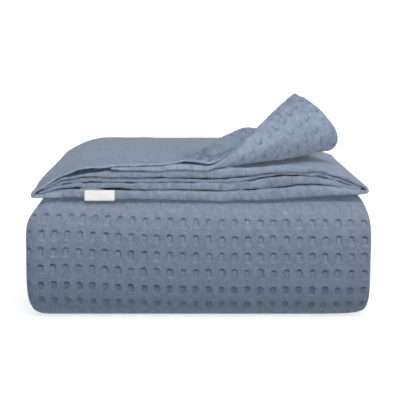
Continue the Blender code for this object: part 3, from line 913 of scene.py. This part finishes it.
class Sheet:
    """The whole sheet, from which patches are cut."""

    def __init__(self):
        self.columns = section()
        self.rows, self.starts = lie()
        self.v = {layer: self.distances(layer) for layer in range(len(LAYERS))}
        self.u0 = self.columns["u"][column_at(self.columns, "top", WELL_AT_X)]
        self.v0 = self.well_row()

    def across(self, first, last, stride):
        """Every stride-th column station between two places, and the last one in any case."""
        end = column_at(self.columns, *last)
        picked = np.arange(column_at(self.columns, *first), end + 1, stride)
        return picked if picked[-1] == end else np.append(picked, end)

    def along(self, first, end):
        """Row stations from the start of one part of the strip to the start of another or to a depth."""
        last = self.starts[end] if end in self.starts else round(end / STEPS_ALONG["top"])
        return np.arange(self.starts[first], last + 1)

    def pick(self, across, along):
        """The stations' values, as one row for those across and one column for those along."""
        c = {key: values[across][None, :] for key, values in self.columns.items()}
        r = {key: values[along][:, None] for key, values in self.rows.items()}
        return c, r

    def distances(self, layer):
        """Distance from the hem along the middle of this layer."""
        station = column_at(self.columns, LAYERS[layer]["name"], -0.05)
        line = sheet_points(*self.pick(np.array([station]), np.arange(len(self.rows["y"]))))[:, 0]
        steps = np.linalg.norm(np.diff(line, axis=0), axis=1)
        return np.concatenate(([0.0], np.cumsum(steps)))

    def well_row(self):
        """Distance along the top layer of the row of wells at WELL_AT_Z on the front."""
        station = column_at(self.columns, "top", 0.0)
        along = np.arange(self.starts["front"], self.starts["inner"])
        line = sheet_points(*self.pick(np.array([station]), along))[:, 0]
        return self.v[1][along[np.argmin(np.abs(line[:, 2] - WELL_AT_Z))]]

    def places(self, c, r, points, depth):
        """Where these stations are on the waffle, which leans and falls a little on the front."""
        left = smooth((LEAN_RIGHT_END - points[..., 0]) / LEAN_WIDE)
        lean = left * rising(points[..., 2], *LEAN_RISE)
        u = c["u"] - self.u0 + COLUMNS_LEAN * lean * (r["loose"] < 1) * (r["y"] < 0)
        stood_out = np.where(c["layer"] == 0, 1.0, smooth(c["x"] / TOP_FOLD_TIP) * (c["layer"] == 1))
        u = u - TOP_FOLD_OUT * stood_out * (1 - r["loose"])
        return u, depth - self.v0 + rows_fall(points[..., 0]) * (1 - r["loose"])

    def patch(self, place, next_place, stride, start, end):
        """Points, sheet coordinates and shade of face A; a patch of the top run goes on round the hem."""
        along = self.along(start, end)
        c, r = self.pick(self.across(place, next_place, stride), along)
        points = sheet_points(c, r)
        normal = normals(points)
        thick = half_thickness(c, r)
        layer = 1 if (c["layer"] == 1).any() else int(np.median(c["layer"]))
        depth = self.v[layer][along][:, None]
        u, v = self.places(c, r, points, depth)
        height, shade = cloth_relief(c, r, points, depth, u, v)
        surface = points + normal * (thick + height)[..., None]
        coordinates = np.stack([u, v], axis=-1)
        if start == "top":
            return add_hem(points, normal, thick, surface, coordinates, shade)
        return surface, coordinates, shade


def new_object(name, bm, material):
    """A smooth object in the scene, made of this bmesh."""
    for face in bm.faces:
        face.smooth = True
    mesh = bpy.data.meshes.new(name)
    bm.to_mesh(mesh)
    bm.free()
    mesh.materials.append(material)
    made = bpy.data.objects.new(name, mesh)
    bpy.context.scene.collection.objects.link(made)
    return made


def cloth_piece(name, parts, material):
    """One object of several patches of the sheet."""
    meshes = [grid_mesh(f"{name}_{i}", *part) for i, part in enumerate(parts)]
    objects = [bpy.data.objects.new(f"{name}_{i}", mesh) for i, mesh in enumerate(meshes)]
    for obj in objects:
        bpy.context.scene.collection.objects.link(obj)
    if len(objects) > 1:
        with bpy.context.temp_override(active_object=objects[0], selected_editable_objects=objects):
            bpy.ops.object.join()
    piece = objects[0]
    piece.name = name
    piece.data.name = name
    piece.location = CENTRED
    piece.data.materials.append(material)
    return piece


# ---- label

# Size of the tape's grid, how square its ends and its long edges are, its bow and its ripple
TAPE_SPANS = (28, 12)
TAPE_SQUARENESS = (14, 6)
TAPE_BOW = 0.00025
TAPE_RIPPLE = 0.00012
# Stitches along each end: how many, how far apart, how far in and out, and their half sizes
STITCHES = 6
STITCH_PITCH = 0.0021
STITCH_IN = 0.0016
STITCH_OUT = 0.00025
STITCH_SIZE = (0.00022, 0.00022, 0.00075)


def tape_point(x, z, side):
    """A point of the tape, from its place in a unit square; the side is 1 behind and -1 in front."""
    width, thick, tall = LABEL_SIZE
    square_x, square_z = TAPE_SQUARENESS
    rounded = (1 - abs(2 * z) ** square_z) * (1 - abs(2 * x) ** square_x)
    bow = TAPE_BOW * math.cos(math.pi * x) + TAPE_RIPPLE * math.sin(9 * x + 5 * z)
    return x * width, side * thick / 2 * max(rounded, 0.0) - bow, z * tall


def add_stitches(bm):
    """The stitches that hold the label at both ends."""
    width, thick, _ = LABEL_SIZE
    for end in (-1, 1):
        for k in range(STITCHES):
            x = end * (width / 2 - STITCH_IN)
            place = Vector((x, -thick / 2 - STITCH_OUT, (k - (STITCHES - 1) / 2) * STITCH_PITCH))
            stitch = bmesh.ops.create_uvsphere(bm, u_segments=8, v_segments=6, radius=1.0)
            for vertex in stitch["verts"]:
                sized = Vector(a * b for a, b in zip(vertex.co, STITCH_SIZE, strict=True))
                vertex.co = sized + place


def make_label(material):
    """The blank label on the lowest hem: a folded strip of satin tape, slightly bowed, sewn at both ends."""
    bm = bmesh.new()
    across, up = TAPE_SPANS
    for side in (-1, 1):
        bmesh.ops.create_grid(bm, x_segments=across, y_segments=up, size=0.5)
        for vertex in list(bm.verts)[-(across + 1) * (up + 1):]:
            vertex.co = tape_point(vertex.co.x, vertex.co.y, side)
    bmesh.ops.remove_doubles(bm, verts=bm.verts, dist=0.00001)
    bmesh.ops.recalc_face_normals(bm, faces=bm.faces)
    add_stitches(bm)
    label = new_object("hem_label_tape", bm, material)
    front = FRONT_HEM + LAYERS[2]["nudge"] - SEAT_GAP - LABEL_SIZE[1] / 2
    label.location = np.array((LABEL_X, front, layer_lines()[0] + LABEL_HEIGHT)) + CENTRED
    return label


# ---- materials


class Nodes:
    """Short calls for adding nodes to one material."""

    def __init__(self, name):
        self.material = bpy.data.materials.new(name)
        self.material.use_nodes = True
        self.tree = self.material.node_tree
        self.shader = self.tree.nodes["Principled BSDF"]

    def add(self, kind, inputs=None, **settings):
        """A node of this kind, with settings; its inputs are values, or sockets to link from."""
        node = self.tree.nodes.new(f"ShaderNode{kind}")
        for key, value in settings.items():
            setattr(node, key, value)
        for key, value in (inputs or {}).items():
            if isinstance(value, bpy.types.NodeSocket):
                self.tree.links.new(value, node.inputs[key])
            else:
                node.inputs[key].default_value = value
        return node

    def ranged(self, value, low, high, **more):
        """A socket's values from 0 to 1, brought to the range from low to high."""
        inputs = {"Value": value, "To Min": low, "To Max": high, **more}
        return self.add("MapRange", inputs).outputs["Result"]

    def set(self, **values):
        """Sets the shader's own inputs; an underscore in a name stands for a space."""
        for name, value in values.items():
            self.shader.inputs[name.replace("_", " ")].default_value = value

    def link(self, socket, name):
        """Links a socket to an input of the shader."""
        self.tree.links.new(socket, self.shader.inputs[name])

    def tint(self, colour, shade):
        """Makes the shader's colour this one times the shade."""
        scaled = self.add("VectorMath", {0: colour, "Scale": shade}, operation="SCALE")
        self.link(scaled.outputs["Vector"], "Base Color")


def cloth_material():
    """Soft cotton: painted shade and highlight from the well attribute, faintly mottled, with its threads as
    bump.
    """
    made = Nodes("cotton_waffle_look")
    made.set(Specular_IOR_Level=0.15, Sheen_Weight=0.12, Sheen_Roughness=0.5)
    sheet = made.add("UVMap", uv_map="sheet").outputs["UV"]
    # Painted shade and highlight from the well attribute scale the colour
    painted_shade_fac = made.add("Attribute", attribute_name="well").outputs["Fac"]
    shade = made.ranged(painted_shade_fac, 1.16, 0.42, **{"From Min": -0.6, "From Max": 1.2})
    grain = {"Vector": sheet, "Detail": 2.0, "Roughness": 0.6}
    blotches = made.add("TexNoise", {**grain, "Scale": 38.0, "Detail": 3.0})
    mottles = made.add("TexNoise", {**grain, "Scale": 130.0})
    specks = made.add("TexNoise", {**grain, "Scale": 420.0})
    streaks_at = made.add("Mapping", {"Vector": sheet, "Scale": (620.0, 110.0, 1.0)}).outputs["Vector"]
    streaks = made.add("TexNoise", {"Vector": streaks_at, "Scale": 1.0, "Detail": 2.0})
    for texture, spread in ((blotches, 0.12), (mottles, 0.26), (specks, 0.26), (streaks, 0.09)):
        factor = made.ranged(texture.outputs["Fac"], 1 - spread, 1 + spread)
        shade = made.add("Math", {0: shade, 1: factor}, operation="MULTIPLY").outputs["Value"]
    made.tint(CLOTH, shade)
    made.link(made.ranged(specks.outputs["Fac"], 0.84, 0.98), "Roughness")
    weft = made.add("TexWave", {"Vector": sheet, "Scale": 250.0, "Distortion": 1.5}, bands_direction="X")
    warp = made.add("TexWave", {"Vector": sheet, "Scale": 210.0, "Distortion": 1.5}, bands_direction="Y")
    threads = made.add("Math", {0: weft.outputs["Fac"], 1: warp.outputs["Fac"]}, operation="ADD")
    crumple = made.add("TexNoise", {**grain, "Scale": 210.0, "Detail": 3.0})
    fine = made.add("Bump", {"Height": threads.outputs["Value"], "Strength": 0.35, "Distance": 0.00012})
    under = {"Normal": fine.outputs["Normal"], "Strength": 0.55, "Distance": 0.0009}
    coarse = made.add("Bump", {"Height": crumple.outputs["Fac"], **under})
    made.link(coarse.outputs["Normal"], "Normal")
    return made.material


def satin_material():
    """Off-white satin tape, finely ribbed."""
    made = Nodes("label_satin_look")
    made.set(Specular_IOR_Level=0.4, Sheen_Weight=0.2)
    place = made.add("TexCoord").outputs["Object"]
    specks = made.add("TexNoise", {"Vector": place, "Scale": 900.0, "Detail": 2.0}).outputs["Fac"]
    made.tint(SATIN, made.ranged(specks, 0.95, 1.03))
    made.link(made.ranged(specks, 0.42, 0.6), "Roughness")
    ribs = made.add("TexWave", {"Vector": place, "Scale": 420.0, "Distortion": 0.4}, bands_direction="Z")
    bump = made.add("Bump", {"Height": ribs.outputs["Fac"], "Strength": 0.3, "Distance": 0.0001})
    made.link(bump.outputs["Normal"], "Normal")
    return made.material


# ---- scene


# The stage: a floor that is flat out to one radius, and then bends up to a round wall
FLOOR_HOLE = 0.02
NEAR_FLOOR = 0.6
FAR_FLOOR = 1.0
FLOOR_FLAT = 3.6
WALL_BEND = 0.9
WALL_TOP = 5.0
BEND_RINGS = 10
STAGE_SPANS = 64

# The photograph's view: the camera looks down a little, with its focal length in pixels of the frame
SENSOR = 36
FOCAL_PIXELS = 1225
FRAME_PIXELS = 400
SIDE_SHIFT = 0.005
CAMERA_AT = (0, -1.67, 0.4028)
CAMERA_FALL = 0.164

SKY = (0.66, 0.82, 1, 1)
SKY_STRENGTH = 0.20

# Area lights: name, place, target, size and power
KEY = ((0.15, -1.25, 1.60), (0, 0, 0.1), (1.2, 0.8))
LIGHTS = (
    ("key_box", *KEY, 16),
    ("upper_key", *KEY, 12),
    ("front_key", *KEY, 16.5),
    ("left_box", (-1.6, -0.5, 0.75), (0, 0, 0.15), (0.8, 0.8), 3.5),
    ("right_box", (1.6, -0.5, 0.75), (0, 0, 0.15), (0.8, 0.8), 5.5),
    ("rear_box", (0.0, 1.5, 1.3), (0, 0, 0.15), (1.4, 0.8), 6.5),
    ("low_box", (0, -1.3, 0.12), (0, 0, 0.07), (1.4, 0.2), 0.1),
    ("floor_glow", (0, -0.17, -0.35), (0, -0.15, 0), (1.2, 0.12), 1.25),
    ("curl_box", (0.2, -1.45, 0.25), (0.05, -0.1, 0.19), (1.2, 0.6), 3),
    ("curl_glow", (0.35, -1.1, -0.35), (0.1, -0.1, 0.2), (1.0, 0.5), 9.5),
    ("third_box", (0.25, -0.9, 1.40), (0.12, -0.1, 0.19), (0.8, 0.4), 4.5),
    ("hem_box", (0.0, -1.45, 0.25), (0.05, -0.1, 0.19), (1.2, 0.5), 7),
)
# Some reach these pieces alone, and the shadowless ones also fill what the others keep dark
REACH = dict(
    front_key=("front_cloth",),
    curl_box=("top_cloth", "curl_cloth"),
    curl_glow=("top_cloth", "curl_cloth"),
    third_box=("third_cloth",),
    hem_box=("hems", "hem_label_tape", "third_cloth"),
)
SHADOWLESS = ("front_key", "curl_glow", "third_box")
HIDDEN = ("upper_key", "low_box", "floor_glow", *REACH)


def floor_material(name, grey, glow):
    """Matt white that is bright by itself as well, so that only deep shade shows on it."""
    made = Nodes(name)
    made.set(Base_Color=(grey, grey, grey, 1), Roughness=0.9, Specular_IOR_Level=0.0)
    made.set(Emission_Color=(1, 1, 1, 1), Emission_Strength=glow)
    return made.material


def stage_rings(bm):
    """The stage's rings of vertices, from the middle of its floor out and up its wall."""
    profile = [(radius, 0.0) for radius in (FLOOR_HOLE, NEAR_FLOOR, FAR_FLOOR, FLOOR_FLAT)]
    for angle in np.linspace(0.1, math.pi / 2, BEND_RINGS):
        profile.append((FLOOR_FLAT + math.sin(angle) * WALL_BEND, WALL_BEND - math.cos(angle) * WALL_BEND))
    profile.append((FLOOR_FLAT + WALL_BEND, WALL_TOP))
    turns = [2 * math.pi * k / STAGE_SPANS for k in range(STAGE_SPANS)]
    return [
        [bm.verts.new((radius * math.cos(turn), radius * math.sin(turn), z)) for turn in turns]
        for radius, z in profile
    ]


def make_stage():
    """A white floor that rises to a round wall far off, bright by itself and lit as well."""
    bm = bmesh.new()
    rings = stage_rings(bm)
    bm.faces.new(rings[0])
    for inner, outer in zip(rings, rings[1:], strict=False):
        for k in range(STAGE_SPANS):
            after = (k + 1) % STAGE_SPANS
            bm.faces.new((inner[k], outer[k], outer[after], inner[after]))
    floor = new_object("studio_floor", bm, floor_material("floor_near", 0.80, 0.66))
    floor.data.materials.append(floor_material("floor_far", 0.55, 1.0))
    for face in floor.data.polygons:
        outermost = max(floor.data.vertices[k].co.xy.length for k in face.vertices)
        face.material_index = int(outermost > NEAR_FLOOR + 0.01)
    floor.visible_diffuse = False
    floor.visible_shadow = False


def area_light(name, place, target, size, power):
    """An area light that shines on its target."""
    data = bpy.data.lights.new(name, "AREA")
    data.shape = "RECTANGLE"
    data.size, data.size_y = size
    data.energy = power
    data.use_shadow = name not in SHADOWLESS
    light = bpy.data.objects.new(name, data)
    light.location = place
    light.rotation_euler = (Vector(target) - Vector(place)).to_track_quat("-Z", "Y").to_euler()
    light.visible_camera = name not in HIDDEN
    bpy.context.scene.collection.objects.link(light)
    return light


def reach_only(light, pieces):
    """Lets this light reach these pieces alone."""
    lit = bpy.data.collections.new(f"{light.name}_reach")
    for piece in pieces:
        lit.objects.link(piece)
    light.light_linking.receiver_collection = lit


def make_lights(pieces):
    """All the lights, and a faint blue sky."""
    lights = {row[0]: area_light(*row) for row in LIGHTS}
    reach_only(lights["upper_key"], [piece for piece in pieces if piece.name not in REACH["front_key"]])
    for name, reach in REACH.items():
        reach_only(lights[name], [piece for piece in pieces if piece.name in reach])
    world = bpy.data.worlds.new("studio")
    world.use_nodes = True
    background = world.node_tree.nodes["Background"]
    background.inputs["Color"].default_value = SKY
    background.inputs["Strength"].default_value = SKY_STRENGTH
    bpy.context.scene.world = world


def make_camera():
    """The camera at the photograph's view."""
    data = bpy.data.cameras.new("camera")
    data.sensor_width = SENSOR
    data.lens = SENSOR * FOCAL_PIXELS / FRAME_PIXELS
    data.shift_x = SIDE_SHIFT
    camera = bpy.data.objects.new("camera", data)
    camera.location = CAMERA_AT
    camera.rotation_euler = (math.radians(90) - math.atan(CAMERA_FALL), 0, 0)
    bpy.context.scene.collection.objects.link(camera)
    bpy.context.scene.camera = camera


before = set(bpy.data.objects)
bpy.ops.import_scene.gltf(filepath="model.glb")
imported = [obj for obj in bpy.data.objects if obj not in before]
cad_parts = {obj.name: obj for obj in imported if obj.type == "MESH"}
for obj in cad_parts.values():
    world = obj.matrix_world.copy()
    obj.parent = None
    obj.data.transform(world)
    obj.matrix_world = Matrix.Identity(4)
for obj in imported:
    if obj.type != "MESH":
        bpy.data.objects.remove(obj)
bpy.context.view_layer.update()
cloth = cloth_material()
made = []
sheet = Sheet()
for name, patches in PATCHES.items():
    parts = [sheet.patch(*patch) for patch in patches]
    piece = cloth_piece(name, parts, cloth)
    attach(piece, "root")
    made.append(piece)
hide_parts("blanket_cloth")
label = make_label(satin_material())
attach(label, "root")
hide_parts("hem_label")
make_stage()
make_lights([*made, label])
make_camera()
bpy.context.scene.view_settings.view_transform = "Standard"
